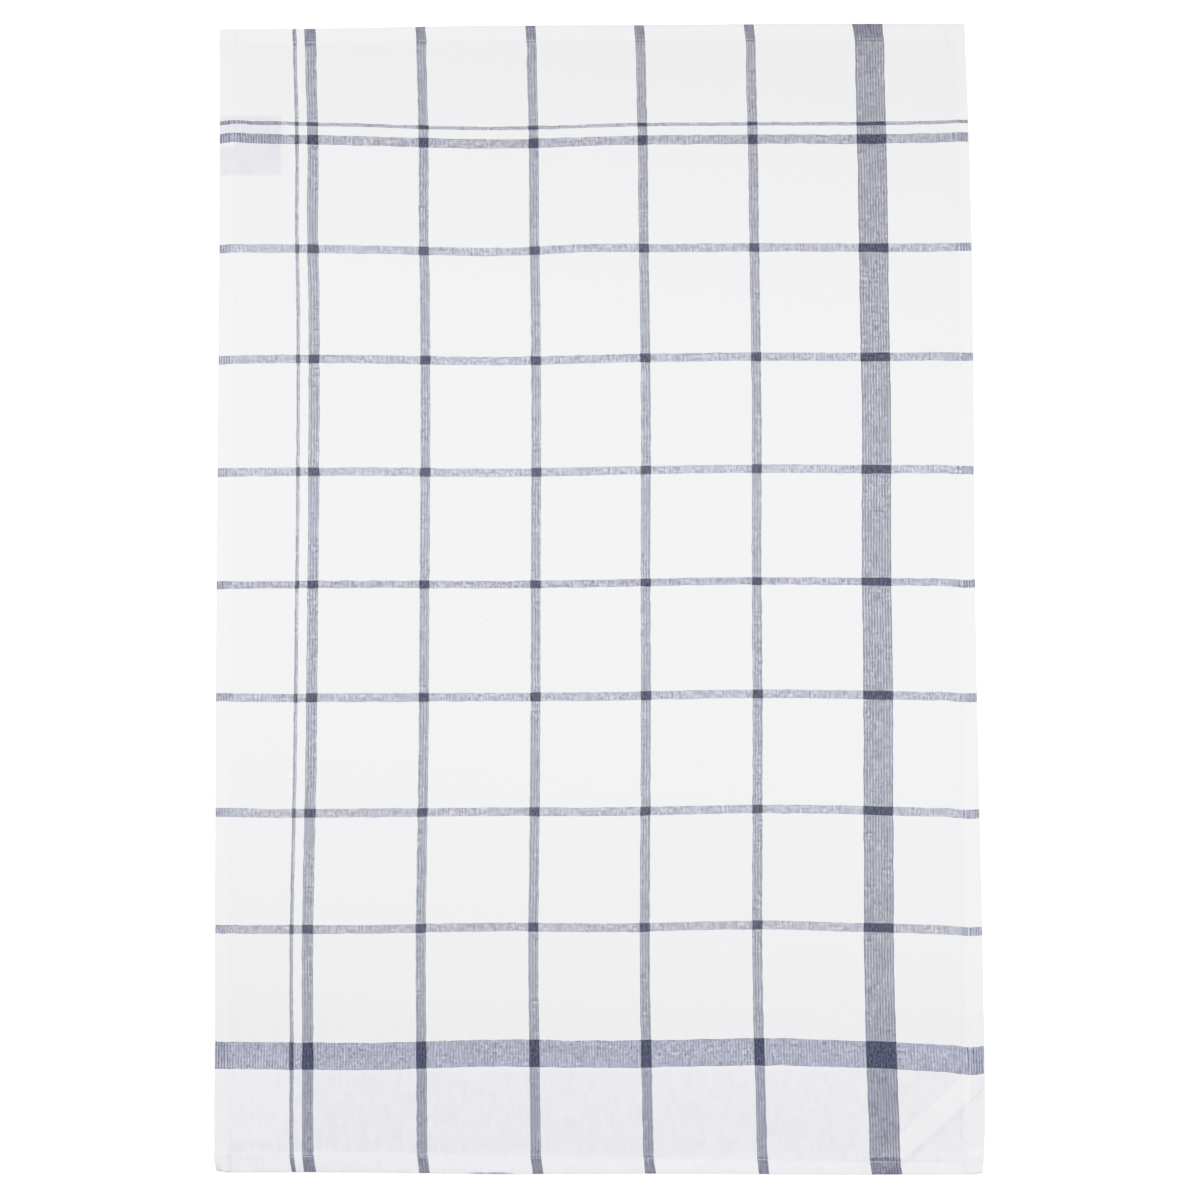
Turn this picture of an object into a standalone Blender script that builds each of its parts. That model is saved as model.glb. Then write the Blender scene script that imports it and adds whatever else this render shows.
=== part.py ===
"""Tea towel: one woven cotton cloth with four turned hems, lying flat, face up.

A blank care label and a strip of hanging tape lie under it, on its reverse side. The origin is at
the middle of the cloth, on the surface it lies on. +X is its width, +Y its length, +Z its face.
All sizes are in metres.
"""

import math

import bpy

# Cloth
CLOTH_WIDTH = 0.500
CLOTH_LENGTH = 0.7605
FIELD_THICK = 0.0010
HEM_EXTRA = 0.0010
CROSSED_HEM_EXTRA = 0.0006
HEM_STEP = 0.0020
RIM_ROUND = 0.0003
CELL = 0.0200

# The corner over the tape has a finer mesh, to the right of and below these lines
FINE_CELL = 0.0085
FINE_FROM_X = 0.160
FINE_BELOW_Y = -0.290

# Width of each turned hem
HEMS = {"left": 0.0088, "right": 0.0105, "top": 0.0090, "bottom": 0.0110}

# How far each corner lies from the corner of a true rectangle
CORNERS = {
    ("left", "bottom"): {"along_x": 0.0013, "along_y": 0.0022},
    ("right", "bottom"): {"along_x": 0.0007, "along_y": -0.0010},
    ("left", "top"): {"along_x": -0.0012, "along_y": -0.0013},
    ("right", "top"): {"along_x": -0.0018, "along_y": 0.0001},
}

# Each corner is blunt: how far its tip is drawn in along both edges, and from how far off
CORNER_BLUNT = 0.0008
CORNER_REACH = 0.0080

# Slow waves of the four edges, outwards, each with a whole number of half waves along its edge
EDGE_WAVES = (
    {"edge": "top", "half_waves": 1, "height": 0.0014},
    {"edge": "bottom", "half_waves": 1, "height": 0.0003},
    {"edge": "left", "half_waves": 1, "height": -0.0005},
    {"edge": "right", "half_waves": 1, "height": 0.0005},
    {"edge": "right", "half_waves": 3, "height": 0.0006},
)

# Places where a hem stands a little off the surface: place along the edge, half length, height
HEM_LIFTS = (
    {"edge": "top", "place": 0.105, "half_length": 0.055, "height": 0.0008},
    {"edge": "top", "place": -0.110, "half_length": 0.045, "height": 0.0006},
    {"edge": "bottom", "place": -0.075, "half_length": 0.060, "height": 0.0010},
    {"edge": "bottom", "place": 0.085, "half_length": 0.045, "height": 0.0007},
    {"edge": "left", "place": 0.110, "half_length": 0.060, "height": 0.0007},
    {"edge": "left", "place": -0.190, "half_length": 0.070, "height": 0.0009},
    {"edge": "right", "place": 0.215, "half_length": 0.060, "height": 0.0010},
    {"edge": "right", "place": -0.090, "half_length": 0.065, "height": 0.0008},
)
LIFT_REACH = 0.050

# Care label, caught in the left hem
LABEL_CENTRE = (-0.2292, 0.2996)
LABEL_WIDTH = 0.0405
LABEL_HEIGHT = 0.0402
LABEL_THICK = 0.0010

# Hanging tape, laid across the lower right corner and caught in both hems
TAPE_WIDTH = 0.0135
TAPE_THICK = 0.0010
TAPE_MIDDLE = (0.2163, -0.3465)
TAPE_SLOPE = math.radians(42.7)
TAPE_RIGHT_CUT = 0.2485
TAPE_BOTTOM_CUT = -0.3775

# The cloth rises over the label and the tape
CLEARANCE = 0.0003
COVER_LIFT = LABEL_THICK + CLEARANCE
COVER_MARGIN = 0.0020
COVER_SLOPE = 0.0100
TAPE_MARGIN = 0.0090

CLOTH_COLOUR = (0.86, 0.86, 0.87, 1.0)
LABEL_COLOUR = (0.72, 0.71, 0.74, 1.0)
TAPE_COLOUR = (0.84, 0.84, 0.85, 1.0)


def smooth(value):
    """A soft step that goes from 0 at 0 or less to 1 at 1 or more."""
    value = min(max(value, 0.0), 1.0)
    return value * value * (3.0 - 2.0 * value)


def mix(start, end, share):
    """The value that lies this share of the way from start to end."""
    return start + (end - start) * share


def stations(breaks, cell):
    """Places along one side of the cloth: each break, with even steps of at most cell between."""
    places = [breaks[0]]
    for start, end in zip(breaks, breaks[1:]):
        steps = max(1, math.ceil((end - start) / cell))
        places += [mix(start, end, step / steps) for step in range(1, steps + 1)]
    return places


def corner(side, end):
    """Where one corner of the cloth lies."""
    offset = CORNERS[side, end]
    x = math.copysign(CLOTH_WIDTH / 2, -1 if side == "left" else 1)
    y = math.copysign(CLOTH_LENGTH / 2, -1 if end == "bottom" else 1)
    return x + offset["along_x"], y + offset["along_y"]


def edge_wave(edge, share):
    """How far this edge stands out, at a share of its length."""
    waves = [wave for wave in EDGE_WAVES if wave["edge"] == edge]
    return sum(wave["height"] * math.sin(math.pi * wave["half_waves"] * share) for wave in waves)


def place_on_cloth(x, y):
    """Moves a point of the true rectangle to where the uneven cloth has it."""
    across = x / CLOTH_WIDTH + 0.5
    along = y / CLOTH_LENGTH + 0.5
    low_left, low_right = corner("left", "bottom"), corner("right", "bottom")
    high_left, high_right = corner("left", "top"), corner("right", "top")
    placed = []
    for axis in (0, 1):
        low = mix(low_left[axis], low_right[axis], across)
        high = mix(high_left[axis], high_right[axis], across)
        placed.append(mix(low, high, along))
    placed[0] += mix(-edge_wave("left", along), edge_wave("right", along), across)
    placed[1] += mix(-edge_wave("bottom", across), edge_wave("top", across), along)
    near_side = smooth(1 - (CLOTH_WIDTH / 2 - abs(x)) / CORNER_REACH)
    near_end = smooth(1 - (CLOTH_LENGTH / 2 - abs(y)) / CORNER_REACH)
    drawn_in = CORNER_BLUNT * near_side * near_end
    return placed[0] - math.copysign(drawn_in, x), placed[1] - math.copysign(drawn_in, y)


def edge_distances(x, y):
    """How far a point of the true rectangle lies from each edge."""
    return {
        "left": x + CLOTH_WIDTH / 2,
        "right": CLOTH_WIDTH / 2 - x,
        "bottom": y + CLOTH_LENGTH / 2,
        "top": CLOTH_LENGTH / 2 - y,
    }


def thickness_at(x, y):
    """The cloth's thickness: the field, with the folded layers of the hems added."""
    inside = edge_distances(x, y)
    depth = {edge: smooth((HEMS[edge] + HEM_STEP - inside[edge]) / HEM_STEP) for edge in HEMS}
    across = max(depth["left"], depth["right"])
    along = max(depth["bottom"], depth["top"])
    crossed = min(across, along) * CROSSED_HEM_EXTRA
    return FIELD_THICK + HEM_EXTRA * max(across, along) + crossed


def label_lift(x, y):
    """How far the label holds the cloth up."""
    outside_x = abs(x - LABEL_CENTRE[0]) - LABEL_WIDTH / 2 - COVER_MARGIN
    outside_y = abs(y - LABEL_CENTRE[1]) - LABEL_HEIGHT / 2 - COVER_MARGIN
    return COVER_LIFT * smooth(1 - outside_x / COVER_SLOPE) * smooth(1 - outside_y / COVER_SLOPE)


def tape_lift(x, y):
    """How far the tape holds the cloth up, along the whole corner that it crosses."""
    from_x = (x - TAPE_MIDDLE[0]) * math.sin(TAPE_SLOPE)
    from_y = (y - TAPE_MIDDLE[1]) * math.cos(TAPE_SLOPE)
    outside = abs(from_x - from_y) - TAPE_WIDTH / 2 - TAPE_MARGIN
    return COVER_LIFT * smooth(1 - outside / COVER_SLOPE)


def hem_lift(x, y):
    """How far the hems stand off the surface of their own accord."""
    inside = edge_distances(x, y)
    height = 0.0
    for lift in HEM_LIFTS:
        place = x if lift["edge"] in ("top", "bottom") else y
        along = 1 - abs(place - lift["place"]) / lift["half_length"]
        inwards = 1 - inside[lift["edge"]] / LIFT_REACH
        height += lift["height"] * smooth(along) * smooth(inwards)
    return height


def underside_at(x, y):
    """The height of the cloth's reverse side above the surface."""
    return max(label_lift(x, y), tape_lift(x, y), hem_lift(x, y))


def hem_breaks(low_edge, high_edge, size, extra):
    """Breaks across one side: both edges, both ends of each hem's step, and any extra ones."""
    low, high = HEMS[low_edge], HEMS[high_edge]
    half = size / 2
    breaks = [-half, low - half, low + HEM_STEP - half]
    breaks += [half - high - HEM_STEP, half - high, half]
    return sorted(breaks + extra)


def cloth_columns():
    """Places of the cloth's mesh lines across its width."""
    label_edge = LABEL_CENTRE[0] + LABEL_WIDTH / 2 + COVER_MARGIN
    extra = [label_edge, label_edge + COVER_SLOPE / 2, label_edge + COVER_SLOPE]
    hem_start = CLOTH_WIDTH / 2 - HEMS["right"] - HEM_STEP
    near_tape = stations([FINE_FROM_X, hem_start], FINE_CELL)
    return stations(hem_breaks("left", "right", CLOTH_WIDTH, extra + near_tape[:-1]), CELL)


def cloth_rows():
    """Places of the cloth's mesh lines along its length."""
    reach = LABEL_HEIGHT / 2 + COVER_MARGIN
    extra = []
    for side in (-1, 1):
        for beyond in (0, COVER_SLOPE / 2, COVER_SLOPE):
            extra.append(LABEL_CENTRE[1] + side * (reach + beyond))
    hem_end = HEMS["bottom"] + HEM_STEP - CLOTH_LENGTH / 2
    near_tape = stations([hem_end, FINE_BELOW_Y], FINE_CELL)
    return stations(hem_breaks("bottom", "top", CLOTH_LENGTH, extra + near_tape[1:]), CELL)


def fabric(name, colour, roughness):
    """A plain material for one piece."""
    material = bpy.data.materials.new(name)
    material.use_nodes = True
    shader = material.node_tree.nodes["Principled BSDF"]
    shader.inputs["Base Color"].default_value = colour
    shader.inputs["Roughness"].default_value = roughness
    shader.inputs["Metallic"].default_value = 0.0
    return material


def keep(piece, name, material, collection):
    """Names a finished piece, gives it its material and files it with the towel."""
    piece.name = name
    piece.data.name = name
    piece.data.materials.clear()
    piece.data.materials.append(material)
    for old in list(piece.users_collection):
        old.objects.unlink(piece)
    collection.objects.link(piece)
    return piece


def round_rim(piece, width, segments):
    """Takes the sharpness off a piece's rim."""
    bevel = piece.modifiers.new("rim", "BEVEL")
    bevel.width = width
    bevel.segments = segments
    bevel.limit_method = "ANGLE"
    bevel.angle_limit = math.radians(60)


def build_cloth(collection):
    """The cloth: its reverse side as an open sheet, given its thickness upwards."""
    columns, rows = cloth_columns(), cloth_rows()
    bpy.ops.mesh.primitive_grid_add(
        x_subdivisions=len(columns) - 1, y_subdivisions=len(rows) - 1, size=2
    )
    piece = bpy.context.object
    group = piece.vertex_groups.new(name="thickness")
    most = FIELD_THICK + HEM_EXTRA + CROSSED_HEM_EXTRA
    for vertex in piece.data.vertices:
        column = round((vertex.co.x + 1) / 2 * (len(columns) - 1))
        row = round((vertex.co.y + 1) / 2 * (len(rows) - 1))
        x, y = columns[column], rows[row]
        group.add([vertex.index], thickness_at(x, y) / most, "REPLACE")
        placed_x, placed_y = place_on_cloth(x, y)
        vertex.co = (placed_x, placed_y, underside_at(x, y))
    solid = piece.modifiers.new("thickness", "SOLIDIFY")
    solid.thickness = most
    solid.offset = 1
    solid.vertex_group = "thickness"
    round_rim(piece, RIM_ROUND, 1)
    keep(piece, "cloth", fabric("woven cotton", CLOTH_COLOUR, 0.9), collection)


def build_label(collection):
    """The care label: a blank square of satin tape that lies flat under the cloth."""
    bpy.ops.mesh.primitive_cube_add(size=1)
    piece = bpy.context.object
    for vertex in piece.data.vertices:
        x = LABEL_CENTRE[0] + vertex.co.x * LABEL_WIDTH
        y = LABEL_CENTRE[1] + vertex.co.y * LABEL_HEIGHT
        vertex.co = (x, y, (vertex.co.z + 0.5) * LABEL_THICK)
    round_rim(piece, RIM_ROUND, 1)
    keep(piece, "care_label", fabric("satin label tape", LABEL_COLOUR, 0.5), collection)


def tape_corner(side, end):
    """One corner of the tape, where its edge meets the upright cut or the level one."""
    offset = side * TAPE_WIDTH / 2
    start_x = TAPE_MIDDLE[0] - offset * math.sin(TAPE_SLOPE)
    start_y = TAPE_MIDDLE[1] + offset * math.cos(TAPE_SLOPE)
    if end == "right":
        return TAPE_RIGHT_CUT, start_y + (TAPE_RIGHT_CUT - start_x) * math.tan(TAPE_SLOPE)
    return start_x + (TAPE_BOTTOM_CUT - start_y) / math.tan(TAPE_SLOPE), TAPE_BOTTOM_CUT


def build_tape(collection):
    """The hanging tape: a flat strip whose ends are cut along the two hems."""
    bpy.ops.mesh.primitive_cube_add(size=2)
    piece = bpy.context.object
    for vertex in piece.data.vertices:
        end = "right" if vertex.co.x > 0 else "bottom"
        x, y = tape_corner(vertex.co.y, end)
        vertex.co = (x, y, (vertex.co.z + 1) / 2 * TAPE_THICK)
    round_rim(piece, RIM_ROUND, 1)
    keep(piece, "hanging_tape", fabric("cotton twill tape", TAPE_COLOUR, 0.85), collection)


def main():
    """Clears the scene and builds the towel's three pieces."""
    for old in list(bpy.data.objects):
        bpy.data.objects.remove(old)
    collection = bpy.data.collections.new("tea towel")
    bpy.context.scene.collection.children.link(collection)
    build_cloth(collection)
    build_label(collection)
    build_tape(collection)


main()
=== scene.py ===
"""Tea towel: a cotton cloth with a woven windowpane check, turned and sewn hems, a blank care label
and a hanging tape, laid out flat on a pale floor.

All places and sizes are in metres, in the towel's own frame: +X is its width, +Y its length and +Z
its face, and the origin is the middle of its underside. Only the weave is in millimetres: its threads,
whose places it reads from the cloth's own UV map, its stripes, and the bands of what lies below them
and of the shade that is painted on them.
"""

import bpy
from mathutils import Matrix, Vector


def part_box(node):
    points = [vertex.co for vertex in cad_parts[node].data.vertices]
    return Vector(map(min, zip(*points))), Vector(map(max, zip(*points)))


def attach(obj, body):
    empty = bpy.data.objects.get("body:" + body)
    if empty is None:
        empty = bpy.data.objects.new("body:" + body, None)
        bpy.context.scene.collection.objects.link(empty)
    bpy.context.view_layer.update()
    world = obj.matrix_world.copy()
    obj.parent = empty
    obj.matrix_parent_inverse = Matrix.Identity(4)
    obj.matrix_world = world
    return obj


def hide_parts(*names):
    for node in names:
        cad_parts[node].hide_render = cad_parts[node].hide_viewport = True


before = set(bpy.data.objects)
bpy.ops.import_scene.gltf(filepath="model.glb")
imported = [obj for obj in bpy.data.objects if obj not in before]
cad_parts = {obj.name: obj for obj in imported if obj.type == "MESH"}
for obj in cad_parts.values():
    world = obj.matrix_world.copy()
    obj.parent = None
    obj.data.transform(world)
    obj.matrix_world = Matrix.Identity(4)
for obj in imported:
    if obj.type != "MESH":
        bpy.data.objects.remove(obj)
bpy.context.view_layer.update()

import math
from functools import partial
from typing import NamedTuple

import bpy
import numpy as np
from mathutils import Euler, Vector

bl_info = {
    "name": "Tea towel",
    "version": (1, 0, 0),
    "blender": (4, 5, 0),
    "location": "3D View > Sidebar > Tea towel",
    "description": "Builds a flat woven tea towel with hems, sewing, a care label and a hanging tape",
    "category": "Object",
}

MM = 0.001
BODY = "root"
THREAD_MAP = "threads"

# Width of the filter in Blender's Bump node, which is left as it comes
BUMP_FILTER = 0.1

# How far the raw edge, tucked into each hem, stops short of the outer fold
RAW_EDGE = 0.0022

# Width of each turned hem. "start" and "end" say how far its stitch line lies from the edge at the
# hem's lower or left end and at its other end, and "bow" how far the line bows inwards between them.
# "thread" is how thick its stitches are, as a share of the sewing thread. "lighter" says how much
# lighter its three layers look than the single one, at its start, in its middle and at its end, and
# "reach" how far from the edge that goes, at its start and at its end.
HEMS = {
    "left": {
        "width": 0.0090, "start": 0.0078, "end": 0.0082, "bow": 0.0, "thread": 0.5,
        "lighter": (0.05, 0.04, 0.04), "reach": (0.0085, 0.0100),
    },
    "right": {
        "width": 0.0110, "start": 0.0092, "end": 0.0084, "bow": 0.0, "thread": 0.8,
        "lighter": (0.085, 0.035, 0.055), "reach": (0.0135, 0.0058),
    },
    "top": {
        "width": 0.0116, "start": 0.0092, "end": 0.0105, "bow": 0.0003, "thread": 0.8,
        "lighter": (0.07, 0.085, 0.075), "reach": (0.0111, 0.0113),
    },
    "bottom": {
        "width": 0.0108, "start": 0.0098, "end": 0.0072, "bow": 0.0016, "thread": 0.8,
        "lighter": (0.0, 0.205, 0.16), "reach": (0.0135, 0.0072),
    },
}

# How far each corner lies from the corner of a true rectangle, how blunt it is, and how far the side
# edge draws in towards it; and how far from the corner the last two reach
CORNERS = {
    ("left", "bottom"): {"along_x": 0.0010, "along_y": 0.0018, "blunt": 0.0011, "drawn_in": 0.0004},
    ("right", "bottom"): {"along_x": 0.0009, "along_y": -0.0010, "blunt": 0.0004, "drawn_in": 0.0017},
    ("left", "top"): {"along_x": -0.0013, "along_y": -0.0012, "blunt": 0.0004, "drawn_in": 0.0002},
    ("right", "top"): {"along_x": -0.0016, "along_y": 0.0006, "blunt": 0.0001, "drawn_in": 0.0004},
}
BLUNT_REACH = 0.009
DRAW_REACH = 0.036

# Slow waves of the four edges: how far each stands out in one half wave along it, in two, and so on
EDGE_WAVES = {
    "top": (0.0010, -0.0001, 0.0, -0.0002),
    "bottom": (0.0004, -0.0002, 0.0, -0.0003),
    "left": (0.0001, 0.0003, -0.0002),
    "right": (0.0010, -0.0007, 0.0008),
}

# Places where a hem stands a little off the surface: place along the edge, half length and height; and
# how far inwards from the edge that reaches
HEM_LIFTS = (
    {"edge": "top", "place": 0.105, "half_length": 0.055, "height": 0.0008},
    {"edge": "top", "place": -0.110, "half_length": 0.045, "height": 0.0006},
    {"edge": "bottom", "place": -0.075, "half_length": 0.060, "height": 0.0010},
    {"edge": "bottom", "place": 0.085, "half_length": 0.045, "height": 0.0007},
    {"edge": "left", "place": 0.110, "half_length": 0.060, "height": 0.0007},
    {"edge": "left", "place": -0.190, "half_length": 0.070, "height": 0.0009},
    {"edge": "right", "place": 0.215, "half_length": 0.060, "height": 0.0010},
    {"edge": "right", "place": -0.090, "half_length": 0.065, "height": 0.0008},
)
LIFT_REACH = 0.050

# Creases that the folded towel has kept, as low ridges: from where to where, height and half width
CREASES = (
    {"start": (-0.178, -0.319), "end": (-0.156, -0.343), "height": 0.0006, "half": 0.0055},
    {"start": (-0.135, -0.322), "end": (-0.120, -0.336), "height": 0.0004, "half": 0.0055},
    {"start": (-0.149, -0.362), "end": (-0.150, -0.378), "height": 0.0004, "half": 0.0050},
    {"start": (-0.083, -0.352), "end": (-0.085, -0.378), "height": 0.0005, "half": 0.0050},
    {"start": (-0.040, -0.340), "end": (-0.030, -0.362), "height": 0.0004, "half": 0.0060},
    {"start": (0.060, -0.330), "end": (0.066, -0.360), "height": 0.0003, "half": 0.0070},
    {"start": (-0.228, -0.352), "end": (-0.205, -0.360), "height": 0.0004, "half": 0.0060},
)

# Dyed warp stripes, from the left: middle and width in millimetres, and how dark against the others
WARP_STRIPES = (
    {"middle": -197.8, "width": 2.8, "depth": 0.94},
    {"middle": -187.4, "width": 7.7},
    {"middle": -113.3, "width": 6.8},
    {"middle": -40.0, "width": 6.8},
    {"middle": 32.7, "width": 6.8},
    {"middle": 106.0, "width": 6.8},
    {"middle": 185.4, "width": 19.9, "depth": 1.08},
)

# Dyed weft stripes, from the top, in the same way
WEFT_STRIPES = (
    {"middle": 312.7, "width": 2.6},
    {"middle": 302.3, "width": 6.6},
    {"middle": 228.7, "width": 5.7, "depth": 0.94},
    {"middle": 154.7, "width": 5.7, "depth": 0.97},
    {"middle": 79.4, "width": 5.7, "depth": 0.95},
    {"middle": 4.6, "width": 5.2, "depth": 1.07},
    {"middle": -70.4, "width": 5.8, "depth": 0.98},
    {"middle": -146.2, "width": 5.7, "depth": 0.955},
    {"middle": -222.2, "width": 5.8, "depth": 0.94},
    {"middle": -304.6, "width": 17.7},
)

# Where the warp bows sideways, along the cloth's length: how far at the left and at the right end of
# BOW_SPAN, which lies about the middle of the cloth
BOW_SPAN = 384.0
WARP_BOWS = (
    {"place": 375.0, "reach": 110.0, "left": -2.85, "right": -0.80},
    {"place": 255.0, "reach": 75.0, "left": -1.10, "right": 0.20},
    {"place": 90.0, "reach": 190.0, "left": 0.65, "right": 0.90},
    {"place": 20.0, "reach": 110.0, "left": 0.00, "right": -0.95},
    {"place": -120.0, "reach": 90.0, "left": -0.20, "right": -0.60},
    {"place": -240.0, "reach": 150.0, "left": -2.00, "right": -1.75},
    {"place": -365.0, "reach": 90.0, "left": -1.05, "right": 0.55},
)

# Where the weft is pulled up or down, across the cloth's width: how far at the bottom, in the middle
# and at the top of PULL_SPAN, which lies about the middle of the cloth
PULL_SPAN = 607.0
WEFT_PULLS = (
    {"place": -65.0, "reach": 100.0, "bottom": 2.15, "middle": -0.60, "top": -2.10},
    {"place": 105.0, "reach": 120.0, "bottom": 2.35, "middle": 1.20, "top": 0.45},
    {"place": 250.0, "reach": 90.0, "bottom": -2.85, "middle": -0.10, "top": 1.00},
    {"place": -250.0, "reach": 130.0, "bottom": 1.15, "middle": -0.25, "top": 2.30},
    {"place": 255.0, "reach": 30.0, "bottom": -2.30, "middle": -2.15, "top": 0.70},
)

# Single places where a few picks of the weft are pulled out of line
WEFT_SNAGS = (
    {"x": -8.0, "y": 229.0, "reach_x": 55.0, "reach_y": 60.0, "shift": 1.2},
    {"x": 225.0, "y": 229.0, "reach_x": 70.0, "reach_y": 60.0, "shift": -0.65},
    {"x": 20.0, "y": -304.0, "reach_x": 60.0, "reach_y": 70.0, "shift": 0.6},
    {"x": 244.0, "y": -310.0, "reach_x": 20.0, "reach_y": 60.0, "shift": -0.6},
    {"x": -250.0, "y": -110.0, "reach_x": 45.0, "reach_y": 110.0, "shift": 1.2},
    {"x": -250.0, "y": 140.0, "reach_x": 45.0, "reach_y": 130.0, "shift": -0.6},
    {"x": -241.0, "y": 305.0, "reach_x": 15.0, "reach_y": 45.0, "shift": 0.6},
    {"x": 160.0, "y": -255.0, "reach_x": 45.0, "reach_y": 90.0, "shift": -1.2},
)

# How far the turning of each hem has dragged its threads along it, at the outer edge: at the hem's
# lower or left end, and at its upper or right end
HEM_DRAG = {
    "left": {"start": 0.4, "end": -0.8},
    "right": {"start": 2.3, "end": -0.4},
    "top": {"start": -0.5, "end": -1.4},
    "bottom": {"start": 1.5, "end": 1.1},
}


class Band(NamedTuple):
    """A soft band across a line: the line's direction, and the band's middle, half width and soft edge."""

    line: tuple
    middle: float
    half: float
    soft: float


class BelowAndPaintedShade(NamedTuple):
    """How the one thin layer of the face looks where all of these bands meet, by what lies under it, and
    by the shade that is painted on it.

    The gain is how much light of each colour the face gives back there, gaps says how much clearer the
    gaps between its yarns show, and uneven how mottled the gain is.
    """

    gain: tuple
    gaps: float
    uneven: float
    bands: tuple


# Directions of bands: over the width and the length, across the right hem, across the lower end, and
# two across the lower right corner
WIDTH, LENGTH, HEM, END = (1.0, 0.0), (0.0, 1.0), (1.0, -0.019), (0.03, 1.0)
CORNER, TAPE = (0.647, -0.762), (0.678, -0.735)

# What lies below the face, band by band, and the bands where shade is painted on it
BELOW_AND_PAINTED_SHADE = (
    # The label: all of it, the clearer yarns by the hem, its end in the hem, and its soft inner edge
    BelowAndPaintedShade((0.775, 0.77, 0.83), 1.0, 1.0, (Band(WIDTH, -229.9, 20.4, 1.4), Band(LENGTH, 299.5, 20.3, 2.0))),
    BelowAndPaintedShade((1.0, 1.0, 1.0), 0.6, 0.0, (Band(WIDTH, -240.0, 12.0, 5.0), Band(LENGTH, 299.5, 20.0, 2.0))),
    BelowAndPaintedShade((1.16, 1.15, 1.12), -0.3, 0.0, (Band(WIDTH, -246.0, 6.0, 2.0), Band(LENGTH, 303.5, 4.5, 1.5))),
    BelowAndPaintedShade((0.95, 0.95, 0.955), 0.4, 2.0, (Band(WIDTH, -207.5, 2.5, 2.4), Band(LENGTH, 299.0, 19.0, 3.0))),
    # The tape; painted shade along its inner side, and a painted shadow in the dark gap there beside the
    # hem
    BelowAndPaintedShade(
        (1.13, 1.12, 1.08), 0.2, 0.6,
        (Band(TAPE, 414.6, 20.0, 0.8), Band(CORNER, 390.6, 20.0, 0.8), Band(WIDTH, 210.0, 32.0, 1.5)),
    ),
    BelowAndPaintedShade((0.955, 0.95, 0.955), 0.0, 2.5, (Band(CORNER, 412.6, 1.8, 1.6),)),
    BelowAndPaintedShade((0.87, 0.86, 0.88), 0.0, 1.0, (Band(CORNER, 410.9, 0.5, 0.6), Band(WIDTH, 252.0, 12.0, 4.0))),
    # Painted shade along the inner fold of the right hem; and the corner outside the tape
    BelowAndPaintedShade((0.97, 0.97, 0.97), 0.0, 4.0, (Band(HEM, 242.4, 0.9, 0.9), Band(LENGTH, -190.0, 185.0, 40.0))),
    BelowAndPaintedShade((1.035, 1.01, 1.005), 0.3, 1.0, (Band(CORNER, 442.5, 31.5, 0.8),)),
    # The lowest band of the cloth: painted shade where it lies unevenly, darker and bluer, and mottled
    BelowAndPaintedShade((0.945, 0.95, 1.0), 0.0, 0.0, (Band(LENGTH, -350.0, 36.0, 2.0),)),
    BelowAndPaintedShade((0.955, 0.955, 0.955), 0.0, 6.5, (Band(LENGTH, -350.0, 36.0, 2.0),)),
    # The wide weft stripe, and the cloth above it
    BelowAndPaintedShade((0.97, 0.98, 1.045), 0.5, 0.0, (Band(LENGTH, -304.6, 9.1, 0.6),)),
    BelowAndPaintedShade((0.97, 0.965, 0.975), 0.0, 8.0, (Band(LENGTH, -286.0, 14.0, 10.0),)),
    # The lower left field: the cloth between the stripes, and painted shade in the dip above the hem and at
    # the corner itself
    BelowAndPaintedShade((1.07, 1.04, 1.045), 0.3, 0.5, (Band(WIDTH, -227.0, 26.0, 3.0), Band(LENGTH, -343.0, 39.0, 2.0))),
    BelowAndPaintedShade((0.965, 0.955, 0.975), 0.0, 1.0, (Band(WIDTH, -226.0, 26.0, 4.0), Band(END, -372.0, 5.0, 3.0))),
    BelowAndPaintedShade((0.86, 0.84, 0.88), 0.0, 3.0, (Band(WIDTH, -250.0, 6.0, 3.0), Band(LENGTH, -380.0, 6.0, 3.0))),
    # Painted shade along the lower and the upper rim, and a dark painted shadow where the lower one turns
    # away from the light
    BelowAndPaintedShade((0.94, 0.94, 0.95), 0.0, 1.5, (Band(LENGTH, -379.0, 2.6, 2.0), Band(WIDTH, -20.0, 250.0, 50.0))),
    BelowAndPaintedShade((0.89, 0.89, 0.89), 0.0, 2.5, (Band(LENGTH, 381.3, 1.5, 0.8),)),
    BelowAndPaintedShade((0.38, 0.37, 0.40), 0.0, 1.0, (Band(WIDTH, -71.0, 13.0, 7.0), Band(LENGTH, -380.3, 1.2, 0.5))),
)

# What the turned layers of the side and the end hems add to the gain: all over, and where one of
# these layers has a dyed stripe
HEM_LAYERS = (
    {"hems": "side_hem", "shift": "below_along", "all": (0.0, 0.0, -0.02), "dyed": (-0.21, -0.205, -0.13)},
    {"hems": "end_hem", "shift": "below_across", "all": (0.0, 0.0, 0.0), "dyed": (-0.34, -0.34, -0.28)},
)

# Specks of darker fibre that were spun in: their places in millimetres, their radius and darkness
SPECKS = (
    {"x": 67.2, "y": 124.6}, {"x": -91.9, "y": 18.4}, {"x": -72.1, "y": -19.5}, {"x": 65.6, "y": -115.6},
)
SPECK_RADIUS = 0.0006
SPECK_SHADE = -0.3

# What is uneven in the weave, and over how many millimetres across and along it changes: how far the
# yarns stray, the lengthwise ribs, the crosswise bars, the heather, how clear the reed's marks are, and
# the streaks of what lies below. A thick or a thin stretch of one yarn has the length of a slub.
STRAY_SIZE = (9.0, 9.0)
RIB_SIZE = (1.0, 9.0)
BAR_SIZE = (7.0, 1.2)
GRAIN_SIZE = (1.5, 2.2)
REED_SIZE = (2.0, 2.6)
STREAK_SIZES = ((2.2, 8.0), (7.0, 12.0))
SLUB_LENGTH = 14.0

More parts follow.
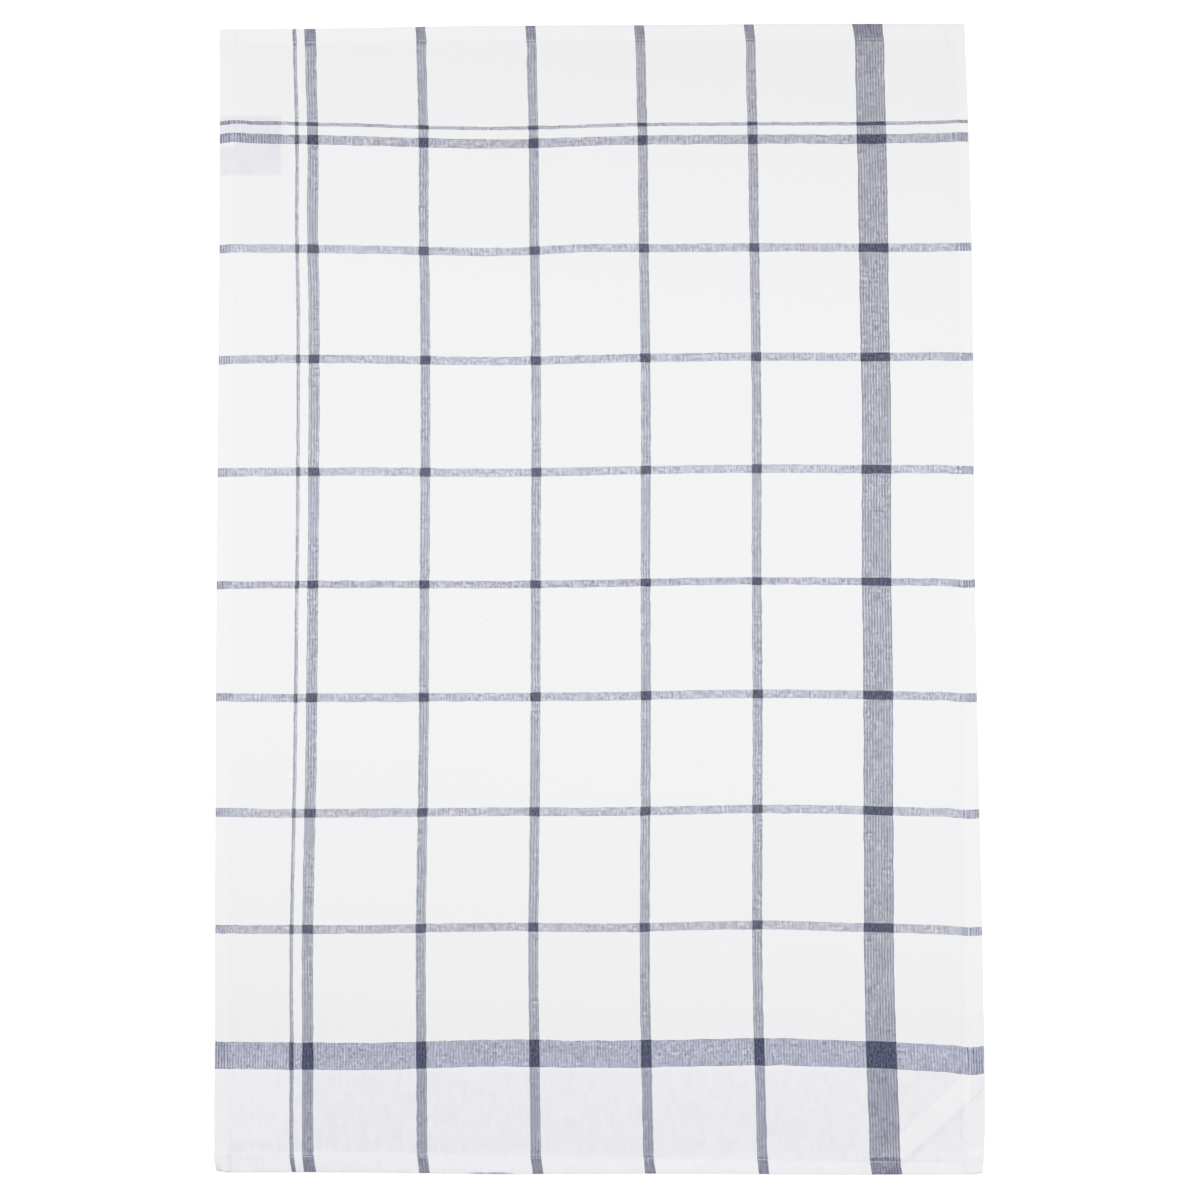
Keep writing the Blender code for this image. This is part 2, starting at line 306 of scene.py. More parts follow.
# How strongly this shows. Pairs are a scale and an offset. The marks of the reed lie some yarns apart,
# come and go by patches, and are clearer where the warp is dyed. A slub's lead says how far it brings
# its yarn to the top. The dye's wear follows the heather and the reed's marks, from the darkest to the
# lightest share of its colour. Light is the share that the whole cloth gives back where its ribs and
# bars are thin and where they are thick, and gap light what a clearer gap takes from it.
REED_YARNS = 2.7
REED_PATCHES = (4.6, -1.3)
REED_CLEARNESS = (0.75, 0.3)
SLUB_LEAD = 2.0
WEAR = (3.0, -1.0)
WEAR_BY_REED = 0.25
DARKEST, LIGHTEST = 0.65, 1.35
RIBS_IN_LIGHT, BARS_IN_LIGHT = 0.7, 0.3
LEAST_LIGHT, MOST_LIGHT = (0.97, 0.97, 0.97), (1.03, 1.03, 1.03)
GAP_LIGHT = -0.012

# Tone curve of the photograph: scene light, and how bright it shows; past the brightest all is white
BRIGHTEST = 1.5
TONES = (
    (0.12, 0.108), (0.16, 0.16), (0.45, 0.45), (0.80, 0.812),
    (0.95, 0.863), (1.10, 0.904), (1.19, 0.932), (1.30, 1.0),
)


def linear(code):
    """The linear colour of an sRGB hex code."""
    shares = [int(code[start:start + 2], 16) / 255 for start in (1, 3, 5)]
    return [share / 12.92 if share <= 0.04045 else ((share + 0.055) / 1.055) ** 2.4 for share in shares]


class ClothSettings(bpy.types.PropertyGroup):
    """Sizes of the cloth as it lies."""

    width: bpy.props.FloatProperty(
        name="Width", description="Width of the finished towel", default=0.500, unit="LENGTH"
    )
    length: bpy.props.FloatProperty(
        name="Length", description="Length of the finished towel", default=0.7605, unit="LENGTH"
    )
    thickness: bpy.props.FloatProperty(
        name="Thickness", description="Thickness of one layer of cloth", default=0.00028, unit="LENGTH"
    )
    air: bpy.props.FloatProperty(
        name="Air", description="Room between the folded layers", default=0.00003, unit="LENGTH"
    )
    cell: bpy.props.FloatProperty(
        name="Cell", description="Spacing of the mesh lines in the field", default=0.004, unit="LENGTH"
    )


class WeaveSettings(bpy.types.PropertyGroup):
    """Yarns of the cloth."""

    warp_pitch: bpy.props.FloatProperty(
        name="Warp pitch", description="Spacing of the lengthwise yarns, in millimetres", default=0.68
    )
    weft_pitch: bpy.props.FloatProperty(
        name="Weft pitch", description="Spacing of the crosswise yarns, in millimetres", default=0.66
    )
    wander: bpy.props.FloatProperty(
        name="Wander", description="How far the yarns stray from their line, in millimetres", default=0.9
    )
    ribs: bpy.props.FloatProperty(
        name="Ribs", description="How uneven the lengthwise yarns are", default=2.5
    )
    bars: bpy.props.FloatProperty(
        name="Bars", description="How uneven the crosswise yarns are", default=4.2
    )
    reed: bpy.props.FloatProperty(
        name="Reed marks", description="How clearly the groups of yarns show", default=1.3
    )
    grain: bpy.props.FloatProperty(
        name="Grain", description="How speckled the heather is", default=6.5
    )
    cover: bpy.props.FloatProperty(
        name="Cover", description="Share of the face that the lengthwise yarns take up", default=0.54
    )
    sharpness: bpy.props.FloatProperty(
        name="Sharpness", description="How sharply one yarn stands out from the next", default=0.12
    )
    white: bpy.props.FloatVectorProperty(
        name="White yarn", description="Colour of the bleached yarn", subtype="COLOR",
        default=linear("#F1F0F3"),
    )
    shaded: bpy.props.FloatVectorProperty(
        name="White over dyed", description="Colour of the bleached yarn over a dyed one", subtype="COLOR",
        default=linear("#DADBE2"),
    )
    dyed: bpy.props.FloatVectorProperty(
        name="Dyed yarn", description="Colour of the grey-blue yarn", subtype="COLOR",
        default=linear("#565866"),
    )


class TrimSettings(bpy.types.PropertyGroup):
    """Label, tape and sewing thread."""

    label_thickness: bpy.props.FloatProperty(
        name="Label thickness", description="Thickness of the satin label", default=0.0002, unit="LENGTH"
    )
    tape_width: bpy.props.FloatProperty(
        name="Tape width", description="Width of the hanging tape", default=0.0135, unit="LENGTH"
    )
    tape_thickness: bpy.props.FloatProperty(
        name="Tape thickness", description="Thickness of the hanging tape", default=0.0005, unit="LENGTH"
    )
    stitch_pitch: bpy.props.FloatProperty(
        name="Stitch pitch", description="Spacing of the stitches", default=0.0030, unit="LENGTH"
    )
    thread_thickness: bpy.props.FloatProperty(
        name="Thread", description="Thickness of the sewing thread", default=0.00050, unit="LENGTH"
    )


class StudioSettings(bpy.types.PropertyGroup):
    """Floor, lights and camera."""

    camera_distance: bpy.props.FloatProperty(
        name="Camera distance", description="From the lens to the towel", default=2.2, unit="LENGTH"
    )
    lens: bpy.props.FloatProperty(
        name="Lens", description="Focal length in millimetres on a 36 mm sensor", default=100.09
    )
    lean: bpy.props.FloatProperty(
        name="Lean", description="How far the camera leans from straight down",
        default=math.radians(5.73), subtype="ANGLE",
    )
    roll: bpy.props.FloatProperty(
        name="Roll", description="How far the camera is turned about its own axis",
        default=math.radians(-0.217), subtype="ANGLE",
    )
    strip_power: bpy.props.FloatProperty(
        name="Strip light", description="Power of the long softbox in watts", default=14.45
    )
    fill: bpy.props.FloatProperty(
        name="Fill", description="Strength of the even light from all round", default=0.19
    )


class TowelSettings(bpy.types.PropertyGroup):
    """All settings of the tea towel."""

    cloth: bpy.props.PointerProperty(type=ClothSettings)
    weave: bpy.props.PointerProperty(type=WeaveSettings)
    trim: bpy.props.PointerProperty(type=TrimSettings)
    studio: bpy.props.PointerProperty(type=StudioSettings)


# Shapes shared by the cloth and what is sewn to it


def smooth(value):
    """A soft step that goes from 0 at 0 or less to 1 at 1 or more."""
    value = np.clip(value, 0.0, 1.0)
    return value * value * (3.0 - 2.0 * value)


def mix(start, end, share):
    """The value that lies this share of the way from start to end."""
    return start + (end - start) * share


def bend(start, middle, end, share):
    """The value at this share of an even bend from start through middle to end."""
    return mix(start, end, share) + (middle - (start + end) / 2) * 4 * share * (1 - share)


class Lie:
    """How the towel lies: the place and height of each point of its true rectangle."""

    # Over what distance from the edge the sheet draws in to make room for its outer fold, and how wide
    # the step is from a hem down to the field
    RIM = 0.0040
    HEM_STEP = 0.0022

    # How far past the label and the tape the face stays up, over what width it then comes down, and how
    # far inwards from the edge this begins
    COVER_MARGIN = 0.0006
    COVER_SLOPE = 0.0030
    COVER_START = 0.0012

    # Where the middle of the tape lies, and how steeply the tape climbs
    TAPE_MIDDLE = (0.2163, -0.3465)
    TAPE_SLOPE = math.radians(42.7)

    def __init__(self, settings):
        cloth, trim = settings.cloth, settings.trim
        self.width, self.length = cloth.width, cloth.length
        self.thickness, self.air = cloth.thickness, cloth.air
        self.layer = cloth.thickness + cloth.air
        self.label_thickness, self.tape_thickness = trim.label_thickness, trim.tape_thickness
        self.tape_width = trim.tape_width
        self.label_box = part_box("care_label")

    def corner(self, side, end):
        """Where one corner of the cloth lies."""
        offset = CORNERS[side, end]
        x = math.copysign(self.width / 2, -1 if side == "left" else 1)
        y = math.copysign(self.length / 2, -1 if end == "bottom" else 1)
        return x + offset["along_x"], y + offset["along_y"]

    def edge_wave(self, edge, share):
        """How far this edge stands out, at a share of its length."""
        waves = enumerate(EDGE_WAVES[edge], start=1)
        return sum(height * np.sin(math.pi * half_waves * share) for half_waves, height in waves)

    def place(self, x, y):
        """Moves points of the true rectangle to where the uneven cloth has them."""
        across, along = x / self.width + 0.5, y / self.length + 0.5
        low_left, low_right = self.corner("left", "bottom"), self.corner("right", "bottom")
        high_left, high_right = self.corner("left", "top"), self.corner("right", "top")
        placed = []
        for axis in (0, 1):
            low = mix(low_left[axis], low_right[axis], across)
            high = mix(high_left[axis], high_right[axis], across)
            placed.append(mix(low, high, along))
        placed[0] += mix(-self.edge_wave("left", along), self.edge_wave("right", along), across)
        placed[1] += mix(-self.edge_wave("bottom", across), self.edge_wave("top", across), along)
        inside = self.inside(x, y)
        for (side, end), corner in CORNERS.items():
            blunt, drawn_in = (
                smooth(1 - inside[side] / reach) * smooth(1 - inside[end] / reach)
                for reach in (BLUNT_REACH, DRAW_REACH)
            )
            blunt = blunt * corner["blunt"]
            placed[0] = placed[0] - np.sign(x) * (blunt + drawn_in * corner["drawn_in"])
            placed[1] = placed[1] - np.sign(y) * blunt
        return placed

    def inside(self, x, y):
        """How far points of the true rectangle lie from each edge."""
        return {
            "left": x + self.width / 2,
            "right": self.width / 2 - x,
            "bottom": y + self.length / 2,
            "top": self.length / 2 - y,
        }

    def folded_over(self, distance, hem, stack):
        """How much of a hem's height the face has, from all over the hem to none in the field."""
        reach = HEMS[hem]["width"] + self.layer / 2 + stack
        step = self.HEM_STEP + 3 * stack
        return smooth((reach + step - distance) / step)

    def side_stack(self, x):
        """Height that the side hems' lower layers add under the face."""
        inside = self.inside(x, 0.0)
        steps = [self.folded_over(inside[hem], hem, 0.0) for hem in ("left", "right")]
        return 2 * self.layer * np.maximum(*steps)

    def end_stack(self, x, y):
        """Height that the end hems' lower layers add under the face."""
        stack = self.side_stack(x)
        inside = self.inside(x, y)
        steps = [self.folded_over(inside[hem], hem, stack) for hem in ("bottom", "top")]
        return 2 * (stack + self.layer) * np.maximum(*steps)

    def hem_lift(self, x, y):
        """How far the hems stand off the surface of their own accord."""
        inside = self.inside(x, y)
        height = 0.0
        for lift in HEM_LIFTS:
            place = x if lift["edge"] in ("top", "bottom") else y
            along = 1 - np.abs(place - lift["place"]) / lift["half_length"]
            inwards = 1 - inside[lift["edge"]] / LIFT_REACH
            height = height + lift["height"] * smooth(along) * smooth(inwards)
        return height

    def crease_lift(self, x, y):
        """Height of the creases."""
        height = 0.0
        for crease in CREASES:
            start, end = Vector(crease["start"]), Vector(crease["end"])
            length, along = (end - start).length, (end - start).normalized()
            from_x, from_y = x - start.x, y - start.y
            share = (from_x * along.x + from_y * along.y) / length
            beside = np.abs(from_x * along.y - from_y * along.x)
            # A crease fades out over a third of its length at either end
            fade = smooth(3 * share) * smooth(3 * (1 - share))
            height = height + crease["height"] * fade * smooth(1 - beside / crease["half"])
        return height

    def cover_lift(self, x, y):
        """How far the label and the tape hold the face up."""
        low, high = self.label_box
        outside = [
            np.maximum(low[axis] - place, place - high[axis]) - self.COVER_MARGIN
            for axis, place in ((0, x), (1, y))
        ]
        label = smooth(1 - outside[0] / self.COVER_SLOPE) * smooth(1 - outside[1] / self.COVER_SLOPE)
        from_x = (x - self.TAPE_MIDDLE[0]) * math.sin(self.TAPE_SLOPE)
        from_y = (y - self.TAPE_MIDDLE[1]) * math.cos(self.TAPE_SLOPE)
        beside = np.abs(from_x - from_y) - self.tape_width / 2 - self.COVER_MARGIN
        tape = smooth(1 - beside / self.COVER_SLOPE)
        height = np.maximum(
            label * (self.label_thickness + 2 * self.air), tape * (self.tape_thickness + 2 * self.air)
        )
        edge = np.minimum.reduce(list(np.broadcast_arrays(*self.inside(x, y).values())))
        return height * smooth((edge - self.COVER_START) / self.COVER_SLOPE)

    def face_middle(self, x, y):
        """Height of the middle of the face layer."""
        stacks = self.side_stack(x) + self.end_stack(x, y)
        lifts = self.cover_lift(x, y) + self.hem_lift(x, y) + self.crease_lift(x, y)
        return self.thickness / 2 + stacks + lifts


def fold_lines(low, high, size, cell):
    """Mesh lines across the whole cut cloth, from one raw edge over the face to the other.

    Each line has its distance from the nearer edge, its side, the thread that it follows, and its
    share in the face, the tucked layer and the bottom layer. Out and inn swing it round a fold.
    """
    def line(side, place, thread, face=0.0, tucked=0.0, bottom=0.0, out=0.0, inn=0.0):
        return {
            "side": side, "place": place, "thread": side * (size / 2 - thread),
            "face": face, "tucked": tucked, "bottom": bottom, "out": out, "inn": inn,
        }

    fold_steps, tucked_lines, bottom_lines, face_lines = 6, 4, 5, 6
    halves = []
    for side, edge in ((-1, low), (1, high)):
        hem = HEMS[edge]["width"]
        lines = []
        for place in np.linspace(RAW_EDGE, hem, tucked_lines)[:-1]:
            lines.append(line(side, place, place - 2 * hem, tucked=1.0))
        for step in range(fold_steps + 1):
            turn = math.pi * step / fold_steps
            share = (1 + math.cos(turn)) / 2
            lines.append(line(side, hem, -hem, tucked=share, bottom=1 - share, inn=math.sin(turn)))
        for place in np.linspace(hem, 0.0, bottom_lines)[1:-1]:
            lines.append(line(side, place, -place, bottom=1.0))
        for step in range(fold_steps + 1):
            turn = math.pi * step / fold_steps
            share = (1 - math.cos(turn)) / 2
            lines.append(line(side, 0.0, 0.0, face=share, bottom=1 - share, out=math.sin(turn)))
        # Three lines shape the step down to the field: at its head, a little past its middle, at its foot
        inner = hem + Lie.HEM_STEP
        step_down = (hem + 0.0006, mix(hem, inner, 0.6), inner + 0.0004)
        for place in (*np.linspace(0.0, hem, face_lines)[1:], *step_down):
            lines.append(line(side, place, place, face=1.0))
        halves.append(lines)
    start = halves[0][-1]["place"] - size / 2
    end = size / 2 - halves[1][-1]["place"]
    count = math.ceil((end - start) / cell)
    middle = []
    for place in np.linspace(start, end, count + 1)[1:-1]:
        side = -1 if place < 0 else 1
        distance = size / 2 - abs(place)
        middle.append(line(side, distance, distance, face=1.0))
    lines = halves[0] + middle + halves[1][::-1]
    return {key: np.array([each[key] for each in lines]) for key in lines[0]}


def swing(lines, size, rim, out, inn, start):
    """Places of mesh lines on the true rectangle, with their folds swung out and in.

    Within the rim the lines first draw in, by start at the very edge, to leave room for the fold.
    """
    place = lines["place"] + start * np.clip(1 - lines["place"] / rim, 0.0, 1.0)
    place = place - out * lines["out"] + inn * lines["inn"]
    return lines["side"] * (size / 2 - place)


def stitch_line(hem, share):
    """How far a hem's stitch line lies from the edge, at a share of the hem's length."""
    sizes = HEMS[hem]
    return mix(sizes["start"], sizes["end"], share) + sizes["bow"] * np.sin(math.pi * share)


def drag_at_edge(hem, share):
    """How far a hem has dragged its outermost thread along, at a share of its length."""
    return mix(HEM_DRAG[hem]["start"], HEM_DRAG[hem]["end"], share)


def drag(hem, share, distance):
    """How far a hem has dragged the thread at this distance from the edge, up to its stitch line."""
    return drag_at_edge(hem, share) * np.clip(1 - distance / stitch_line(hem, share), 0.0, 1.0)


def thread_shift(x, y, lie):
    """How far the threads at these points lie from where straight ones would, in millimetres."""
    inside = lie.inside(x, y)
    across, along = x / MM / BOW_SPAN + 0.5, y / MM / PULL_SPAN + 0.5
    warp = 0.0
    for bow in WARP_BOWS:
        bent = smooth(1 - np.abs(y / MM - bow["place"]) / bow["reach"])
        warp = warp + bent * mix(bow["left"], bow["right"], across)
    weft = 0.0
    for pull in WEFT_PULLS:
        bent = smooth(1 - np.abs(x / MM - pull["place"]) / pull["reach"])
        weft = weft + bent * bend(pull["bottom"], pull["middle"], pull["top"], along)
    for snag in WEFT_SNAGS:
        near_x = smooth(1 - np.abs(x / MM - snag["x"]) / snag["reach_x"])
        near_y = smooth(1 - np.abs(y / MM - snag["y"]) / snag["reach_y"])
        weft = weft + snag["shift"] * near_x * near_y
    for hem in ("top", "bottom"):
        warp = warp + drag(hem, across, inside[hem])
    for hem in ("left", "right"):
        weft = weft + drag(hem, along, inside[hem])
    return warp, weft


# Scene helpers


def start_clean():
    """Leaves nothing selected, so that an operator only acts on the new piece."""
    if bpy.context.mode != "OBJECT":
        bpy.ops.object.mode_set(mode="OBJECT")
    bpy.ops.object.select_all(action="DESELECT")


def grid(name, columns, rows):
    """A new grid with this many mesh lines, and the column and row of each of its points."""
    start_clean()
    bpy.ops.mesh.primitive_grid_add(
        x_subdivisions=columns - 1, y_subdivisions=rows - 1, size=2, calc_uvs=False
    )
    piece = bpy.context.object
    piece.name = piece.data.name = name
    places = read_points(piece)
    column = np.rint((places[:, 0] + 1) / 2 * (columns - 1)).astype(int)
    row = np.rint((places[:, 1] + 1) / 2 * (rows - 1)).astype(int)
    return piece, column, row


def read_points(piece):
    """The points of a piece's mesh."""
    points = np.zeros(len(piece.data.vertices) * 3, np.float32)
    piece.data.vertices.foreach_get("co", points)
    return points.reshape(-1, 3).astype(float)


def write_points(piece, x, y, z):
    """Moves the points of a piece's mesh."""
    points = np.stack([x, y, z], axis=1).astype(np.float32)
    piece.data.vertices.foreach_set("co", points.ravel())
    piece.data.update()


def write_threads(piece, across, along):
    """Gives a piece the UV map that its material reads: thread places in millimetres."""
    layer = piece.data.uv_layers.new(name=THREAD_MAP)
    corners = np.zeros(len(piece.data.loops), np.int32)
    piece.data.loops.foreach_get("vertex_index", corners)
    threads = np.stack([across[corners], along[corners]], axis=1).astype(np.float32)
    layer.data.foreach_set("uv", threads.ravel())


def write_number(piece, name, values):
    """Gives each point of a piece a number that its material can read."""
    attribute = piece.data.attributes.new(name, "FLOAT", "POINT")
    attribute.data.foreach_set("value", values.astype(np.float32))


def thicken(piece, thickness):
    """Gives an open sheet its thickness, half to each side."""
    solid = piece.modifiers.new("thickness", "SOLIDIFY")
    solid.thickness = thickness
    solid.offset = 0.0
    solid.material_offset = 1
    bpy.context.view_layer.objects.active = piece
    bpy.ops.object.modifier_apply(modifier=solid.name)


def finish_piece(piece, materials, slot, *nodes):
    """Shades a finished piece, gives it its materials and fits it to the frame."""
    piece.data.materials.clear()
    for material in materials:
        piece.data.materials.append(material)
    piece.data.shade_smooth()
    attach(piece, BODY)
    if nodes:
        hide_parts(*nodes)


# Materials


def add(tree, kind, *values, output=None, **settings):
    """Adds a node, fills or links the inputs that it has, in their order, and gives one of its outputs.

    The kind may name an operation too, as in "Math ADD". The settings come before the values, because
    they say which inputs and outputs the node has.
    """
    kind, _, operation = kind.partition(" ")
    node = tree.nodes.new("ShaderNode" + kind)
    if operation:
        node.operation = operation
    for name, value in settings.items():
        setattr(node, name, value)
    used = [socket for socket in node.inputs if socket.enabled]
    for socket, value in zip(used, values):
        if isinstance(value, bpy.types.NodeSocket):
            tree.links.new(value, socket)
        else:
            socket.default_value = (*value, 1.0) if socket.type == "RGBA" else value
    return node.outputs[output] if output else [each for each in node.outputs if each.enabled][0]


def new_material(name, roughness, sheen=0.0, specular=0.3):
    """A material with its shader."""
    material = bpy.data.materials.new(name)
    material.use_nodes = True
    shader = material.node_tree.nodes["Principled BSDF"]
    shader.inputs["Roughness"].default_value = roughness
    shader.inputs["Sheen Weight"].default_value = sheen
    shader.inputs["Sheen Roughness"].default_value = 0.5
    shader.inputs["Specular IOR Level"].default_value = specular
    return material, shader


def dress(shader, colour, height, bump, depth):
    """Gives a shader its colour, and a bump of this strength and depth where the height rises."""
    tree = shader.id_data
    tree.links.new(colour, shader.inputs["Base Color"])
    tree.links.new(add(tree, "Bump", bump, depth, BUMP_FILTER, height), shader.inputs["Normal"])


def stripes_at(tree, thread, stripes):
    """How dark the yarn at this place is dyed: 0 for a white one."""
    total = 0.0
    for stripe in stripes:
        inside = add(tree, "Math COMPARE", thread, stripe["middle"], stripe["width"] / 2)
        total = add(tree, "Math MULTIPLY_ADD", inside, stripe.get("depth", 1.0), total)
    return total


def unevenness(tree, places, across=1.0, along=1.0):
    """A soft random number between 0 and 1 that changes over this much of the places."""
    stretched = add(tree, "VectorMath MULTIPLY", places, (1 / across, 1 / along, 0.0))
    return add(tree, "TexNoise", stretched, 1.0, 2.0, 0.6, noise_dimensions="2D")


def plain_weave(tree, threads, weave):
    """Which yarn is on top in a plain weave, and how high it stands there.

    A yarn has a round back and dips under each second yarn that crosses it. Real yarns are too fine for
    a picture of the whole towel, so these are drawn about twice as coarse, and the thick and thin
    stretches of their spinning also over two or three yarns together, as the ribs that the eye sees.
    """
    do = partial(add, tree)
    # How steeply a yarn's back falls off, and how far apart in the noise two neighbours lie
    roundness, apart = 3.0, 7.13
    yarns = {}
    for name, axis, pitch in (("warp", "X", weave.warp_pitch), ("weft", "Y", weave.weft_pitch)):
        place = do("SeparateXYZ", threads, output=axis)
        scaled = do("Math DIVIDE", place, pitch)
        index = do("Math FLOOR", scaled)
        odd = do("Math FLOORED_MODULO", index, 2.0)
        yarns[name] = {
            "scaled": scaled, "index": index, "place": place,
            "off_middle": do("Math SUBTRACT", do("Math FRACT", scaled), 0.5),
            "sign": do("Math SUBTRACT", 1.0, do("Math MULTIPLY", odd, 2.0)),
            "middle": do("Math MULTIPLY", do("Math ADD", index, 0.5), pitch),
        }
    for name, other, sign in (("warp", "weft", 1.0), ("weft", "warp", -1.0)):
        yarn, crossing = yarns[name], yarns[other]
        phase = do("Math MULTIPLY", do("Math SUBTRACT", crossing["scaled"], 0.5), math.pi)
        wave = do("Math MULTIPLY", do("Math COSINE", phase), do("Math MULTIPLY", yarn["sign"], sign))
        back = do("Math MULTIPLY", yarn["off_middle"], yarn["off_middle"])
        yarn["height"] = do("Math SUBTRACT", wave, do("Math MULTIPLY", back, roundness))
        lengthwise = do("Math DIVIDE", crossing["place"], SLUB_LENGTH)
        stretch = do("CombineXYZ", do("Math MULTIPLY", yarn["index"], apart), lengthwise)
        yarn["slub"] = unevenness(tree, stretch)
    return yarns["warp"], yarns["weft"]


def layers_below_and_painted_shade(tree, threads, warp, weft):
    """What lies under the face, and the shade painted on it: how much light of each colour it gives back,
    and how clear its gaps are.

    Light that has gone through the thin cloth comes back from whatever is below: less from the satin
    label, more from the thick tape and the turned hems, where the stripes below show through too. Some
    bands are painted shade instead: along the rims, the inner fold of the right hem and the tape's inner
    side, in the dip above the lower hem, at the lower left corner, and where the lowest band lies unevenly.
    """
    do = partial(add, tree)
    place = do("TexCoord", output="Object")
    streaks = do("Math ADD", *(unevenness(tree, threads, *size) for size in STREAK_SIZES))
    gain, gaps = (1.0, 1.0, 1.0), do("Attribute", attribute_name="side_hem", output="Fac")
    # Each band scales the gain: by what shows through from below, and in some bands by painted shade
    for below in BELOW_AND_PAINTED_SHADE:
        mask = 1.0
        for band in below.bands:
            along = do("VectorMath DOT_PRODUCT", place, (band.line[0] / MM, band.line[1] / MM, 0.0))
            off = do("Math ABSOLUTE", do("Math SUBTRACT", along, band.middle))
            edges = (band.half + band.soft, band.half - band.soft)
            inside = do("MapRange", off, *edges, 0.0, 1.0, interpolation_type="SMOOTHSTEP")
            mask = do("Math MULTIPLY", inside, mask)
        mottled = do("Math MULTIPLY_ADD", streaks, below.uneven / 2, 1 - below.uneven / 2)
        change = [share - 1.0 for share in below.gain]
        gain = do("VectorMath MULTIPLY_ADD", do("Math MULTIPLY", mask, mottled), change, gain)
        gaps = do("Math MULTIPLY_ADD", mask, below.gaps, gaps)
    for layers, yarn, stripes in zip(HEM_LAYERS, (weft, warp), (WEFT_STRIPES, WARP_STRIPES)):
        shift = do("Attribute", attribute_name=layers["shift"], output="Fac")
        turned = do("Attribute", attribute_name=layers["hems"], output="Fac")
        dyed = stripes_at(tree, do("Math SUBTRACT", yarn["place"], shift), stripes)
        change = do("VectorMath MULTIPLY_ADD", turned, layers["all"], (1.0, 1.0, 1.0))
        change = do("VectorMath MULTIPLY_ADD", do("Math MULTIPLY", dyed, turned), layers["dyed"], change)
        gain = do("VectorMath MULTIPLY", gain, change)
    lighter = do("Math ADD", do("Attribute", attribute_name="hem_lighter", output="Fac"), 1.0)
    for speck in SPECKS:
        away = do("VectorMath SUBTRACT", place, (speck["x"] * MM, speck["y"] * MM, 0.0))
        far = do("VectorMath LENGTH", do("VectorMath MULTIPLY", away, (1.0, 1.0, 0.0)))
        shade = do("Math MULTIPLY_ADD", do("Math LESS_THAN", far, SPECK_RADIUS), SPECK_SHADE, 1.0)
        lighter = do("Math MULTIPLY", lighter, shade)
    gain = do("VectorMath SCALE", gain, lighter)
    on_face = do("Attribute", attribute_name="face_layer", output="Fac")
    return do("Mix", on_face, (1.0, 1.0, 1.0), gain, data_type="RGBA"), gaps


